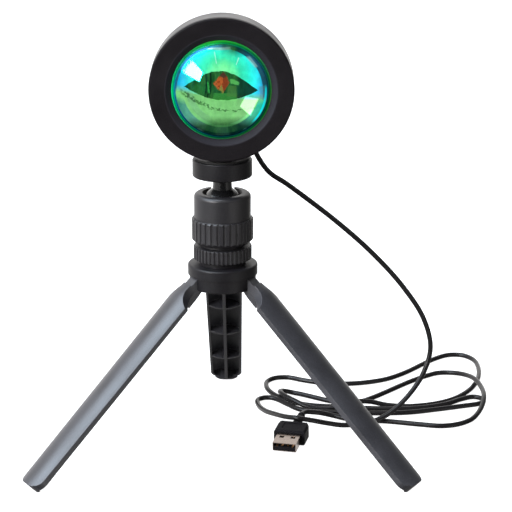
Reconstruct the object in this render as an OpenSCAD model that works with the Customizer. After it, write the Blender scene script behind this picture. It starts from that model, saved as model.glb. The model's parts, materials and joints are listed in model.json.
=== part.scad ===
// Sunset projection lamp on a folding mini tripod with a ball head and a
// plug-ended supply cord. Millimetres, +Z up, the lamp looks along -Y.
// Origin: on the standing plane, on the axis of the column.

/* [Lamp head] */
// Outer radius of the drum
drum_r = 34.6; // [30:0.1:40]
// Height of the drum's axis above the standing plane
drum_z = 187.1; // [184:0.1:195]
// Distance of the front face ahead of the column axis
face_y = 15; // [14:0.1:17]
// Radius of the stepped rear barrel
barrel_r = 31; // [29:0.1:33]
// Radius of the bore's front edge
bore_r = 26.5; // [25.5:0.1:28]
// Visible radius of the lens
lens_r = 23.8; // [22:0.1:24.5]
// Height of the lens dome above its rim
dome_h = 8; // [4:0.5:10]
// Wall of the drum and barrel
shell_wall = 2.2; // [1.6:0.1:3]
// Number of cooling slots round the barrel
slot_count = 9; // [5:1:11]

/* [Ball head] */
// Radius of the round platform
platform_r = 14.5; // [13:0.1:15]
// Underside of the platform
platform_z = 142.3; // [142:0.1:144]
// Thickness of the platform
platform_h = 8.5; // [6:0.1:8.6]
// Radius of the ball
ball_r = 10.2; // [9.8:0.1:10.4]
// Height of the ball's centre
ball_z = 126.9; // [126.6:0.1:127.2]
// Radius of the ball's stem
stem_r = 4.35; // [3.5:0.05:4.6]
// Radius of the smooth cup
cup_r = 13.7; // [13.4:0.1:14.2]
// Radius over the grip of the locking sleeve
grip_r = 15; // [14.4:0.1:15.1]
// Number of grooves in the grip
groove_count = 30; // [20:2:36]
// Number of ridges on the lock nut
ridge_count = 40; // [24:2:48]

/* [Tripod] */
// Radius of the hub's upper disc
disc_r = 17.1; // [16.5:0.1:18]
// Radius of the hub's slotted block
block_r = 16.3; // [15.8:0.1:17]
// Distance of each leg pivot from the column axis
pivot_r = 11.5; // [11:0.1:12]
// Height of the leg pivots
pivot_z = 92; // [91.8:0.1:92.2]
// Angle of an open leg from the vertical
leg_open = 45.5; // [44:0.5:47]
// Half width of a leg at its top
leg_w0 = 9.4; // [8.4:0.1:9.5]
// Half width of a leg at its foot
leg_w1 = 8.4; // [7:0.1:8.6]
// Wall of the moulded leg
leg_wall = 1.3; // [1:0.1:1.6]

/* [Supply cord] */
// Diameter of the cord
cord_d = 2.6; // [2.2:0.1:3]

/* [Hidden] */
$fn = 96;

black = [0.13, 0.13, 0.14];
dark = [0.08, 0.08, 0.09];
rubber = [0.05, 0.05, 0.05];
steel = [0.72, 0.7, 0.68];
brass = [0.8, 0.65, 0.35];

// ---- helpers -------------------------------------------------------------

// turns a shape drawn round +Z so that it runs along +Y on the drum's axis;
// local z = 0 is the column axis and the face is at local z = -face_y
module on_drum() translate([0, 0, drum_z]) rotate([-90, 0, 0]) children();

// a ring between two radii and two heights
module ring(ro, ri, z0, z1) rotate_extrude() polygon([[ri, z0], [ro, z0], [ro, z1], [ri, z1]]);

// a turned disc whose top and bottom edges are rounded by small arcs
module turned(ro, ri, z0, z1, rb, rt) rotate_extrude() union() {
    polygon([[ri, z0], [ro - rb, z0], [ro - rb, z0 + rb], [ro, z0 + rb],
        [ro, z1 - rt], [ro - rt, z1 - rt], [ro - rt, z1], [ri, z1]]);
    if (rb > 0) translate([ro - rb, z0 + rb]) circle(r = rb, $fn = 32);
    if (rt > 0) translate([ro - rt, z1 - rt]) circle(r = rt, $fn = 32);
}

// ---- lamp head -----------------------------------------------------------

bezel_t = 3.5;            // thickness of the bezel's front ring
seat_y = -face_y + 2.4;   // plane of the lens rim
barrel_end = 14.5;        // where the rear cover starts

module front_bezel() color(black) on_drum() difference() {
    union() {
        turned(drum_r, lens_r + 0.1, -face_y, -face_y + bezel_t, 0.8, 0);
        ring(drum_r - shell_wall - 0.1, lens_r + 2.6, -face_y + bezel_t, -face_y + 8.5);
    }
    // sloping wall of the bore, down to the lens
    translate([0, 0, -face_y - 0.01]) cylinder(h = 2.41, r1 = bore_r, r2 = lens_r + 0.1);
    // pocket for the seal and the lens flange
    translate([0, 0, seat_y + 0.5]) cylinder(h = 20, r = lens_r + 1.6);
}

module head_shell() color(black) difference() {
    union() {
        on_drum() {
            ring(drum_r, drum_r - shell_wall, -face_y + bezel_t, 1.5);
            turned(drum_r, barrel_r - shell_wall, -1, 1.5, 0, 0.8);
            ring(barrel_r, barrel_r - shell_wall, 1.4, barrel_end);
            // cooling fins that run along the barrel
            for (a = [-60 : 10 : 240]) rotate([0, 0, -a])
                translate([barrel_r - 0.6, -0.7, 1.4]) cube([1.6, 1.4, barrel_end - 2.2]);
        }
        // boss that stands on the platform
        difference() {
            translate([0, 0, 151.9]) cylinder(h = 10, r = 13.5);
            on_drum() translate([0, 0, -20]) cylinder(h = 40, r = barrel_r - 1);
            on_drum() translate([0, 0, -20]) cylinder(h = 19.5, r = drum_r - shell_wall + 0.05);
            translate([-20, -face_y - 5, 150]) cube([40, 5 + bezel_t, 20]);
        }
    }
    // pocket of the threaded insert
    translate([0, 0, 151]) cylinder(h = 6.9, r = 4.8);
    // cooling slots between the fins, over the top of the barrel
    on_drum() for (i = [0 : slot_count - 1])
        rotate([0, 0, -(90 + (i - (slot_count - 1) / 2) * 20 + 5)])
            translate([barrel_r - 4, -1, 4]) cube([8, 2, 7]);
}

sph = (lens_r * lens_r + dome_h * dome_h) / (2 * dome_h); // radius of the dome

module lens() color([0.15, 0.7, 0.55, 0.6]) on_drum() intersection() {
    union() {
        translate([0, 0, seat_y]) cylinder(h = 5, r = lens_r);
        translate([0, 0, seat_y + 1.6]) cylinder(h = 1.8, r = lens_r + 1.4);
        translate([0, 0, seat_y + sph - dome_h]) intersection() {
            sphere(r = sph, $fn = 160);
            translate([0, 0, -sph - 1]) cylinder(h = dome_h + 1.01, r = lens_r);
        }
    }
    translate([0, 0, -40]) cylinder(h = 60, r = lens_r + 2);
}

module lens_seal() color(rubber) on_drum()
    ring(lens_r + 1.5, lens_r + 0.1, seat_y + 0.5, seat_y + 1.6);

module lens_retainer() color(dark) on_drum() difference() {
    ring(lens_r + 2.5, lens_r - 1.2, seat_y + 5, seat_y + 7.5);
    for (a = [0 : 90 : 270]) rotate([0, 0, a])
        translate([lens_r + 0.8, -1, seat_y + 6.3]) cube([3, 2, 3]);
}

module colour_filter() color([0.95, 0.45, 0.1, 0.6]) on_drum()
    translate([0, 0, seat_y + 7.5]) cylinder(h = 1.1, r = lens_r);

module light_tube() color(dark) on_drum() rotate_extrude()
    polygon([[lens_r + 1.2, seat_y + 8.6], [lens_r + 1.2, seat_y + 9.8], [lens_r - 1, seat_y + 10],
        [12.6, 5.2], [16, 5.2], [16, 6.4], [10.9, 6.4], [10.9, 5], [lens_r - 2.4, seat_y + 8.6]]);

module led_emitter() color([0.95, 0.85, 0.3]) on_drum() union() {
    translate([-3.5, -3.5, 5]) cube([7, 7, 1.4]);
    translate([0, 0, 5]) intersection() {
        sphere(r = 2.8, $fn = 48);
        translate([0, 0, -4]) cylinder(h = 4, r = 4);
    }
}

module led_board() color([0.85, 0.87, 0.85]) on_drum() difference() {
    translate([0, 0, 6.4]) cylinder(h = 1.6, r = 14);
    for (a = [30, 210]) rotate([0, 0, a]) translate([8, 0, 6]) cylinder(h = 3, r = 1.05);
}

module board_screws() color(steel) on_drum() for (a = [30, 210]) rotate([0, 0, a]) translate([8, 0, 0]) {
    translate([0, 0, 5]) cylinder(h = 1.4, r = 1.9);
    translate([0, 0, 5.5]) cylinder(h = 5.4, r = 1);
}

module heat_sink() color([0.75, 0.76, 0.78]) on_drum() difference() {
    union() {
        translate([0, 0, 8]) cylinder(h = 1.9, r = barrel_r - shell_wall - 0.05);
        for (x = [-15 : 5 : 15]) translate([x - 0.6, -sqrt(361 - x * x), 9.8]) cube([1.2, 2 * sqrt(361 - x * x), 3.6]);
    }
    for (a = [30, 210]) rotate([0, 0, a]) translate([8, 0, 7]) cylinder(h = 9, r = 1.02);
    // way through for the leads
    translate([9, drum_z - 164.1, 7]) cylinder(h = 4, r = 2.4);
}

// two insulated leads from the grommet to the board
module led_leads() color([0.7, 0.1, 0.1]) for (s = [-1, 1]) translate([9 + s * 0.65, 0, 0]) union() {
    translate([0, 7.2, 164.1]) rotate([-90, 0, 0]) cylinder(h = 7.1, r = 0.5, $fn = 24);
    translate([0, 7.2, 164.1]) sphere(r = 0.5, $fn = 24);
    translate([0, 7.2, 164.1]) cylinder(h = 11.4, r = 0.5, $fn = 24);
}

cover_screw_at = [45, 135, 225, 315];

module rear_cover() color(black) on_drum() difference() {
    union() {
        turned(barrel_r, 0, barrel_end, barrel_end + 2.4, 0, 1);
        ring(barrel_r - shell_wall - 0.1, barrel_r - shell_wall - 1.8, barrel_end - 2.5, barrel_end);
        for (a = cover_screw_at) rotate([0, 0, a]) translate([24.5, 0, barrel_end - 3.5]) cylinder(h = 3.6, r = 2.6);
    }
    for (a = cover_screw_at) rotate([0, 0, a]) translate([24.5, 0, 0]) {
        translate([0, 0, barrel_end - 4]) cylinder(h = 8, r = 1.3);
        translate([0, 0, barrel_end + 1.2]) cylinder(h = 2, r = 2.3);
    }
    // rows of cooling slots
    for (x = [-12 : 4 : 12]) translate([x - 0.9, -12, barrel_end - 1]) cube([1.8, 24, 5]);
    // hole for the cable grommet
    translate([9, drum_z - 164.1, barrel_end - 4]) cylinder(h = 8, r = 3.2);
}

module rear_cover_screws() color(steel) on_drum() for (a = cover_screw_at) rotate([0, 0, a]) translate([24.5, 0, 0]) difference() {
    union() {
        translate([0, 0, barrel_end + 1.2]) cylinder(h = 1.1, r = 2.2);
        translate([0, 0, barrel_end - 3.4]) cylinder(h = 5, r = 1.2);
    }
    for (b = [0, 90]) rotate([0, 0, b]) translate([-1.4, -0.3, barrel_end + 1.7]) cube([2.8, 0.6, 1]);
}

// strain relief that grips the cord where it leaves the rear cover
module cable_grommet() color(rubber) translate([9, 0, 164.1]) rotate([-90, 0, 0]) rotate_extrude()
    polygon([[1.3, barrel_end + 0.1], [1.3, barrel_end + 10], [2, barrel_end + 10], [2.9, barrel_end + 4.4],
        [4.4, barrel_end + 4], [4.4, barrel_end + 2.4], [3.2, barrel_end + 2.4], [3.2, barrel_end - 0.2],
        [1.6, barrel_end - 0.2]]);

module thread_insert() color(brass) difference() {
    union() {
        translate([0, 0, 151.9]) cylinder(h = 6, r = 4.8);
    }
    translate([0, 0, 151]) cylinder(h = 8, r = 3.2);
}

// ---- ball head -----------------------------------------------------------

platform_top = platform_z + platform_h;

module platform_pad() color(rubber) ring(13.2, 3.6, platform_top, 151.9);

module platform() color(black) difference() {
    turned(platform_r, 3.2, platform_z, platform_top, 0.8, 0.5);
    translate([0, 0, platform_z - 1]) cylinder(h = 4, r = 5);
}

// stud with a flange below, that holds the platform on the stem
module platform_stud() color(steel) union() {
    translate([0, 0, platform_z + 1.3]) cylinder(h = 13.5, r = 3.15);
}

module ball_stem() color(dark) difference() {
    union() {
        translate([0, 0, ball_z]) sphere(r = ball_r, $fn = 96);
        translate([0, 0, ball_z + 6]) cylinder(h = platform_z - ball_z - 6, r1 = stem_r + 0.65, r2 = stem_r);
        translate([0, 0, platform_z - 1]) cylinder(h = 3.5, r = stem_r - 0.01);
        translate([0, 0, platform_z]) cylinder(h = 3, r = 4.95);
    }
    translate([0, 0, platform_z + 1.3]) cylinder(h = 8, r = 3.15);
}

cup_top = 134;

module lock_sleeve() color(black) difference() {
    union() {
        // smooth cup with a rounded rim
        turned(cup_r + 0.15, 9, 121, cup_top, 0, 2.1);
        // grip, chamfered below
        rotate_extrude() polygon([[9, 109.2], [grip_r - 1.8, 109.2], [grip_r, 111.1], [grip_r, 120.9], [grip_r - 0.5, 121.5], [9, 121.5]]);
    }
    translate([0, 0, 108.6]) cylinder(h = 14.4, r = 11.6);
    translate([0, 0, ball_z]) sphere(r = ball_r + 0.08, $fn = 96);
    translate([0, 0, 131]) cylinder(h = 3.9, r1 = 9.45, r2 = 9.9);
    // notch at the back, so the stem can lie flat
    translate([-5.65, 0, ball_z]) cube([11.3, 20, 20]);
    translate([0, 0, ball_z]) rotate([-90, 0, 0]) cylinder(h = 20, r = 5.65);
    // grooves of the grip
    for (i = [0 : groove_count - 1]) rotate([0, 0, (i + 0.9) * 360 / groove_count])
        translate([grip_r + 0.15, 0, 107]) cylinder(h = 17, r = 0.75, $fn = 24);
}

module ball_seat() color([0.2, 0.2, 0.2]) difference() {
    translate([0, 0, 115.9]) cylinder(h = 6, r = 11.3);
    translate([0, 0, ball_z]) sphere(r = ball_r + 0.04, $fn = 96);
    // room for the stem in the notch
    translate([0, 0, ball_z]) rotate([-90, 0, 0]) cylinder(h = 20, r = 6.4);
}

module ball_head_base() color(dark) difference() {
    union() {
        translate([0, 0, 107.55]) cylinder(h = 3, r = 10.7);
        translate([0, 0, 109.5]) cylinder(h = 6.35, r = 11.5);
    }
    translate([0, 0, 107]) cylinder(h = 5.8, r = 3.15);
}

module lock_nut() color(black) difference() {
    union() {
        turned(13.6, 3.25, 100.95, 107.45, 0.4, 0.4);
        intersection() {
            for (i = [0 : ridge_count - 1]) rotate([0, 0, i * 360 / ridge_count])
                translate([13.55, 0, 100.95]) cylinder(h = 6.5, r = 0.66, $fn = 24);
            turned(14.25, 3, 100.95, 107.45, 0.5, 0.5);
        }
    }
}

// ---- tripod hub ----------------------------------------------------------

block_z = 86.9;
disc_z = 94.2;
disc_top = 98.55;

module tripod_stud() color(steel) union() {
    translate([0, 0, 90]) cylinder(h = 22.7, r = 3.15);
    translate([0, 0, 90]) cylinder(h = 4.2, r = 5.2, $fn = 6);
}

module hub_disc() color(black) difference() {
    union() {
        // disc with a lip round the hub block
        difference() {
            turned(disc_r, 3.15, disc_z - 0.8, disc_top, 0, 1);
            translate([0, 0, disc_z - 2]) cylinder(h = 2, r = block_r + 0.2);
        }
        ring(11.5, 3.15, disc_top - 1, 100.9);
        // pads that press the leg pins into their seats
        for (a = [90, 210, 330]) rotate([0, 0, a]) for (s = [-1, 1])
            translate([pivot_r - 1.1, s * 5.8 - 2, pivot_z + 1.26]) cube([2.2, 4, disc_z - pivot_z - 1.2]);
    }
    for (a = [30, 150, 270]) rotate([0, 0, a]) translate([10.5, 0, 90]) cylinder(h = 7.2, r = 1.1);
}

module hub_block() color(black) difference() {
    turned(block_r, 0, block_z, disc_z, 0.7, 0);
    // pocket of the stud's hexagonal foot
    translate([0, 0, 90]) cylinder(h = 6, r = 5.25, $fn = 6);
    for (a = [90, 210, 330]) rotate([0, 0, a]) {
        // slot of the leg
        translate([8.4, -3.45, block_z - 1]) cube([12, 6.9, 10]);
        // seat of the pin, open to the top
        translate([pivot_r, -8, pivot_z]) rotate([-90, 0, 0]) cylinder(h = 16, r = 1.25);
        translate([pivot_r - 1.25, -8, pivot_z]) cube([2.5, 16, 5]);
    }
    for (a = [30, 150, 270]) rotate([0, 0, a]) translate([10.5, 0, 80]) {
        cylinder(h = 20, r = 1.4);
        translate([0, 0, 6]) cylinder(h = 4.2, r = 2.3);
    }
}

module hub_screws() color(steel) for (a = [30, 150, 270]) rotate([0, 0, a]) translate([10.5, 0, 0]) difference() {
    union() {
        translate([0, 0, 88.7]) cylinder(h = 1.5, r = 2.2);
        translate([0, 0, 89]) cylinder(h = 8.1, r = 1.1);
    }
    for (b = [0, 90]) rotate([0, 0, b]) translate([-1.4, -0.3, 88]) cube([2.8, 0.6, 1.3]);
}

module leg_pins() color(steel) for (a = [90, 210, 330]) rotate([0, 0, a])
    translate([pivot_r, -7.9, pivot_z]) rotate([-90, 0, 0]) cylinder(h = 15.8, r = 1.25);

// ---- legs ----------------------------------------------------------------

// drawn with the pivot at the origin, x along the leg and +z outwards
in_z = 0.6;                                 // plane of the free edges
bulge = 1.8;                                // rise of the ribs' free edges
crown = in_z + 5.4;                         // height of the arched skin
arch_r = 15;                                // radius of the arched skin
corner_r = 6.2;                             // rounding of the foot's corners
leg_len = (pivot_z + (in_z - bulge) * sin(leg_open) + 0.35) / cos(leg_open);

// outline of the leg seen square to its skin, from x0 to its rounded foot
module leg_plan(inset, x0) {
    w0 = leg_w0 - inset;
    w1 = leg_w1 - inset;
    e = leg_len - inset;
    r = corner_r - inset;
    foot = [for (a = [0 : 15 : 90]) [e - r + r * sin(a), w1 - r + r * cos(a)]];
    linear_extrude(height = 40, center = true)
        polygon(concat([[x0, -w0], [x0, w0]], foot, [for (i = [6 : -1 : 0]) [foot[i][0], -foot[i][1]]]));
}

// arched skin: a long cylinder, lowered in steps towards the hub
module arch(inset) intersection() {
    translate([-60, 0, crown - arch_r]) rotate([0, 90, 0]) cylinder(h = 260, r = arch_r - inset, $fn = 160);
    translate([14, 0, crown]) rotate([0, -5, 0]) translate([-80, 0, -arch_r - 0.5]) rotate([0, 90, 0]) cylinder(h = 260, r = arch_r + 0.5 - inset, $fn = 160);
    translate([12, 0, crown - 0.15]) rotate([0, -10, 0]) translate([-80, 0, -arch_r - 1.2]) rotate([0, 90, 0]) cylinder(h = 260, r = arch_r + 1.2 - inset, $fn = 160);
}

module leg_body() difference() {
    intersection() {
        leg_plan(0, 7);
        arch(0);
        translate([7, -12, in_z]) cube([leg_len, 24, 12]);
    }
    // hollow under the skin
    intersection() {
        leg_plan(leg_wall, 24);
        translate([0, 0, crown - arch_r]) rotate([0, 90, 0]) cylinder(h = 160, r = arch_r - leg_wall, $fn = 160);
        translate([24, -12, in_z - 3]) cube([leg_len, 24, 12]);
    }
}

// rib along the middle, cross ribs and the end wall, with bulging edges
module leg_ribs() intersection() {
    leg_plan(0.02, 15);
    translate([0, 0, crown - arch_r]) rotate([0, 90, 0]) cylinder(h = 160, r = arch_r - 0.6, $fn = 160);
    translate([0, 0, in_z - bulge + 16.9]) rotate([0, 90, 0]) cylinder(h = 300, r = 16.9, $fn = 160);
    union() {
        translate([18, -0.8, -5]) cube([leg_len, 1.6, 9.6]);
        translate([18, -12, -5]) cube([7, 24, 8]);
        for (x = [42.5, 72.5, 102.5]) translate([x, -12, -5]) cube([1.3, 24, 9.6]);
        translate([leg_len - 1.5, -12, -5]) cube([4, 24, 9.6]);
    }
}

// narrow tongue, with the flat that meets the disc when the leg is open
module tongue() rotate([90, 0, 0]) linear_extrude(height = 6.6, center = true) union() {
    circle(r = 2, $fn = 64);
    polygon([[-2.15 * cos(leg_open), 2.15 * sin(leg_open)],
        [3 * sin(leg_open) - 2.15 * cos(leg_open), 3 * cos(leg_open) + 2.15 * sin(leg_open)],
        [8, 4], [17, 4], [17.6, in_z + 0.2], [15.4, -3], [9, -3], [3.4, -2.4], [0.9, -1.75], [-1, -1]]);
}

module leg() difference() {
    union() {
        leg_body();
        leg_ribs();
        tongue();
    }
    // scooped sides beside the tongue
    for (s = [-1, 1]) {
        translate([7.6, s * 14.8, -10]) cylinder(h = 30, r = 11.5);
        translate([-5, s * 14.8 - 11.48, -10]) cube([12.6, 22.96, 30]);
    }
    // hinge bore
    rotate([90, 0, 0]) cylinder(h = 20, r = 1.3, center = true);
    // flat on which the foot stands
    rotate([0, leg_open - 90, 0]) translate([-50, -50, -pivot_z - 20]) cube([250, 100, 20]);
}

module placed_leg(az) color(black) rotate([0, 0, az]) translate([pivot_r, 0, pivot_z])
    rotate([0, 90 - leg_open, 0]) leg();

module leg_left() placed_leg(210);
module leg_right() placed_leg(330);
module leg_rear() placed_leg(90);

// ---- supply cord ---------------------------------------------------------

// route of the cord's middle: out of the grommet and down behind the head,
exit_route = [[9, 24.5, 164.1], [9, 28.5, 164.1], [9.8, 32.5, 161.8], [12, 35, 156.5],
    [14.5, 34.5, 150], [17, 33, 144]];
// then in an arc outwards and down to the standing plane,
drop_route = [[22.9, 32.2, 135.8], [32, 32.5, 129.4], [57.4, 36.5, 108.6], [76.3, 39.6, 90.6],
    [92, 43, 72], [103, 46, 54], [106.9, 47, 38], [103.4, 44.6, 25], [95.2, 39.6, 14],
    [85.5, 35.2, 6.2], [76, 32.2, 2.6]];
// then in loose loops that lie on the plane and on each other, to the plug
floor_route = [[62, 29.4, 1.8], [53.5, 26.8, 3.8], [45.5, 22.2, 7.1], [37.6, 20.4, 9.1],
    [31.6, 26.4, 7.6], [26, 36.5, 5.3], [21.3, 47, 3], [18, 58, 1.5], [17, 66, 1.3],
    [18, 69.2, 1.3], [20.7, 71.3, 1.3], [24, 71.4, 1.3], [27, 69.5, 1.3], [33, 61.5, 1.3],
    [38, 55, 1.3], [44, 51, 1.3], [58, 49, 1.3], [94, 48.8, 1.3], [112, 53.8, 1.3],
    [126, 58.8, 1.3], [134, 61.8, 1.3], [137, 64.3, 1.3], [137.7, 68, 1.3],
    [135.9, 71.3, 1.3], [132.5, 72.6, 1.3], [126.4, 69.4, 1.3], [117, 61.6, 1.3],
    [105, 56.4, 1.3], [94.5, 54.6, 1.3], [76.6, 55.2, 1.3], [58, 57.6, 1.3],
    [46, 59.6, 1.3], [38, 63.2, 1.3], [31.5, 69, 1.3], [25.3, 77.6, 1.3], [22, 88, 1.3],
    [22.6, 97, 1.3], [27, 102.4, 1.3], [34, 103.2, 1.3], [42, 98.8, 1.3], [54, 94, 1.3],
    [70, 93.6, 1.3], [86, 99.4, 1.3], [97, 109, 1.3], [117, 134, 1.3], [125.5, 140.6, 1.3],
    [133, 140.2, 1.3], [138.6, 132.6, 1.3], [140, 116, 1.3], [137, 97, 1.3],
    [131, 82, 1.3], [122, 69.6, 1.3], [111, 62, 1.3], [98, 58.4, 1.3], [86, 58.8, 1.8],
    [76.5, 59.2, 3.6], [69.5, 56.8, 4.5], [62, 53.8, 3], [51, 54, 1.5], [43, 55.8, 2.2],
    [37, 59.6, 3.8], [32, 65.2, 4.5], [29.8, 69.8, 4.6], [29.2, 73.8, 4], [30.5, 77.3, 3],
    [33.7, 79.1, 1.9], [37.3, 78.5, 1.3], [55.5, 66.4, 1.3], [62, 63.2, 1.3],
    [68, 63.6, 1.3], [75, 67.8, 1.3], [101, 97, 1.3], [110, 105.6, 1.3],
    [117.5, 110.6, 1.3], [124.5, 110, 1.6], [130.6, 104, 2.8], [135, 93.5, 4.3],
    [137.6, 80, 4.4], [137.5, 64, 4.4], [134.2, 50.5, 2.4], [128, 38.4, 1.3],
    [120, 31.6, 1.3], [111.5, 29.6, 1.3], [101, 31.8, 1.3], [82, 36.6, 1.3], [70, 37, 1.3],
    [62.7, 39.6, 1.6], [56, 42, 2.4], [49.5, 41.8, 3.9], [45.6, 40.4, 4.8],
    [42.4, 38.6, 5.6], [40.4, 35.2, 6], [39.9, 33.2, 5.9]];
route = concat(exit_route, drop_route, floor_route);
last = len(route) - 1;
drop_at = len(exit_route) - 1;              // the cord's pieces meet at these two points
floor_at = drop_at + len(drop_route);
plug_turn = -14;                            // the plug's turn about the vertical
plug_tilt = 4;                              // and its tilt, nose down

// direction of the cord at each point of its route
function unit(v) = v / norm(v);
function heading(i) = i == 0 ? [0, 1, 0]
    : i == last ? [sin(plug_turn) * cos(plug_tilt), -cos(plug_turn) * cos(plug_tilt), -sin(plug_tilt)]
    : unit(unit(route[i + 1] - route[i]) + unit(route[i] - route[i - 1]));
// eight points round the cord, square to its direction
function around(i, side) = let (t = heading(i), u = unit(cross(side, t)), v = cross(t, u))
    [for (k = [0 : 7]) route[i] + cord_d / 2 * (cos(45 * k + 22.5) * u + sin(45 * k + 22.5) * v)];

// the cord swept along its route from point i0 to point i1
module cord(i0, i1, side) {
    n = i1 - i0 + 1;
    polyhedron(
        points = [for (i = [i0 : i1]) each around(i, side)],
        faces = concat(
            [[for (k = [0 : 7]) k]],
            [for (i = [0 : n - 2]) for (k = [0 : 7]) each let (a = 8 * i + k, b = 8 * i + (k + 1) % 8)
                [[a, a + 8, b], [b, a + 8, b + 8]]],
            [[for (k = [7 : -1 : 0]) 8 * (n - 1) + k]]));
}

module cord_upper() color(rubber) cord(0, drop_at, [1, 0, 0]);
module cord_drop() color(rubber) cord(drop_at, floor_at, [0, 1, 0]);
module cord_floor() color(rubber) cord(floor_at, last, [0, 0, 1]);

// ---- plug ----------------------------------------------------------------

// local y = 0 is where the cord enters and -y runs to the mouth of the shell
relief_l = 15;
body_l = 13.2;
body_w = 16;
body_h = 7.6;
shell_l = 11.2;      // exposed length of the metal shell
shell_in = 5;        // length of the shell inside the body
face_at = -relief_l - body_l;
mouth_at = face_at - shell_l;

module on_plug() translate(route[last]) rotate([0, 0, plug_turn]) rotate([plug_tilt, 0, 0]) children();

// tapered sleeve with shallow rings
module plug_strain_relief() color(rubber) on_plug() rotate([90, 0, 0]) rotate_extrude() polygon(concat(
    [[0, 0], [1.7, 0]],
    [for (i = [0 : 6]) each let (z = 0.4 + i * 2, r = 1.9 + 0.6 * z / relief_l)
        [[r, z], [r + 0.05, z + 1.3], [r - 0.25, z + 1.5], [r - 0.25, z + 1.8]]],
    [[2.5, relief_l - 0.3], [2.5, relief_l], [0, relief_l]]));

// moulded body with bevelled edges and cut rear corners
module plug_body() color(dark) on_plug() difference() {
    intersection() {
        translate([0, -relief_l, 0]) linear_extrude(height = 20, center = true) polygon([
            [-body_w / 2 + 2.6, 0], [-body_w / 2, -3.6], [-body_w / 2, -body_l], [body_w / 2, -body_l],
            [body_w / 2, -3.6], [body_w / 2 - 2.6, 0]]);
        translate([0, -relief_l, 0]) rotate([90, 0, 0]) linear_extrude(height = body_l) polygon([
            [-body_w / 2 + 0.9, -body_h / 2], [body_w / 2 - 0.9, -body_h / 2], [body_w / 2, -body_h / 2 + 0.9],
            [body_w / 2, body_h / 2 - 0.9], [body_w / 2 - 0.9, body_h / 2], [-body_w / 2 + 0.9, body_h / 2],
            [-body_w / 2, body_h / 2 - 0.9], [-body_w / 2, -body_h / 2 + 0.9]]);
        rotate([90, 0, 90]) linear_extrude(height = 30, center = true) polygon([
            [-relief_l, body_h / 2 - 1.2], [-relief_l - 1.5, body_h / 2], [face_at + 0.9, body_h / 2],
            [face_at, body_h / 2 - 0.7], [face_at, -body_h / 2 + 0.5], [face_at + 0.6, -body_h / 2],
            [-relief_l - 1.5, -body_h / 2], [-relief_l, -body_h / 2 + 1.2]]);
    }
    // pocket of the shell
    translate([-6, face_at - 1, -2.25]) cube([12, shell_in + 1, 4.5]);
    // shallow panels above and below
    for (s = [-1, 1]) translate([-4.6, face_at + 3, s * body_h / 2 - 0.3]) cube([9.2, 7.2, 0.6]);
}

module plug_shell() color(steel) on_plug() difference() {
    translate([-6, mouth_at, -2.25]) cube([12, shell_l + shell_in, 4.5]);
    translate([-5.7, mouth_at - 1, -1.95]) cube([11.4, shell_l + shell_in + 2, 3.9]);
    // square windows
    for (s = [-1, 1]) translate([s * 2.9 - 1.15, face_at - 5, -5]) cube([2.3, 2.2, 10]);
}

module plug_tongue() color([0.12, 0.11, 0.1]) on_plug() union() {
    translate([-5.6, mouth_at + 0.4, -1.9]) cube([11.2, shell_l + shell_in - 0.4, 1.8]);
    translate([-5.6, face_at + 1.4, -0.2]) cube([11.2, shell_in - 1.4, 2.1]);
}

module plug_contacts() color(brass) on_plug() for (i = [0 : 3])
    translate([-4 + i * 2.667 - 0.5, mouth_at + (i == 0 || i == 3 ? 1.2 : 2.2), -0.1])
        cube([1, shell_l - (i == 0 || i == 3 ? 1.2 : 2.2) + 1.4, 0.25]);

front_bezel();
head_shell();
lens();
lens_seal();
lens_retainer();
colour_filter();
light_tube();
led_emitter();
led_board();
board_screws();
heat_sink();
led_leads();
rear_cover();
rear_cover_screws();
cable_grommet();
thread_insert();
platform_pad();
platform();
platform_stud();
ball_stem();
lock_sleeve();
ball_seat();
ball_head_base();
lock_nut();
tripod_stud();
hub_disc();
hub_block();
hub_screws();
leg_pins();
leg_left();
leg_right();
leg_rear();
cord_upper();
cord_drop();
cord_floor();
plug_strain_relief();
plug_body();
plug_shell();
plug_tongue();
plug_contacts();
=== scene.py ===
import bpy, bmesh, json, math
import numpy as np
from mathutils import Vector, Matrix

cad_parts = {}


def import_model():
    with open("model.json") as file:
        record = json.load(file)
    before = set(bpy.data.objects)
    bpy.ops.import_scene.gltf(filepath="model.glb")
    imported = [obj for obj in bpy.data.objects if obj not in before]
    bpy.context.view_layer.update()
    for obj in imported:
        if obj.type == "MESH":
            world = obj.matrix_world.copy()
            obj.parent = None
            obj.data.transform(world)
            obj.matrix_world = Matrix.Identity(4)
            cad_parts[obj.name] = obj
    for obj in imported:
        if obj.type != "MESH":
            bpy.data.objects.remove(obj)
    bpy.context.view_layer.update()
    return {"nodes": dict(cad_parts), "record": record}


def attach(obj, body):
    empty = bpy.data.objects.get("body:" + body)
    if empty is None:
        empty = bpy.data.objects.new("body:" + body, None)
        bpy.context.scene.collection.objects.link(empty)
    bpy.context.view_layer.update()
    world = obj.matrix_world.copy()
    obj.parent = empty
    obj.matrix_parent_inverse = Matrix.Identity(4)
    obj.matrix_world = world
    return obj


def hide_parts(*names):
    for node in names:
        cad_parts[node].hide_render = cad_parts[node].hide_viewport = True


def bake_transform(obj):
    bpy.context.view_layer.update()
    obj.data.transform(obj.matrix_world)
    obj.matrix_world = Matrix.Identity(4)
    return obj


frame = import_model()
scene = bpy.context.scene
MM = 0.001
pi = math.pi


# ---- camera --------------------------------------------------------------
cam_data = bpy.data.cameras.new("camera")
cam_data.lens = 148.36
cam_data.sensor_width = 36
cam_data.clip_start, cam_data.clip_end = 0.02, 20
cam = bpy.data.objects.new("camera", cam_data)
cam.location = (0.0163, -0.990, 0.396)
cam.rotation_euler = (math.radians(90 - 16.56), 0, 0)
scene.collection.objects.link(cam)
scene.camera = cam


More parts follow.
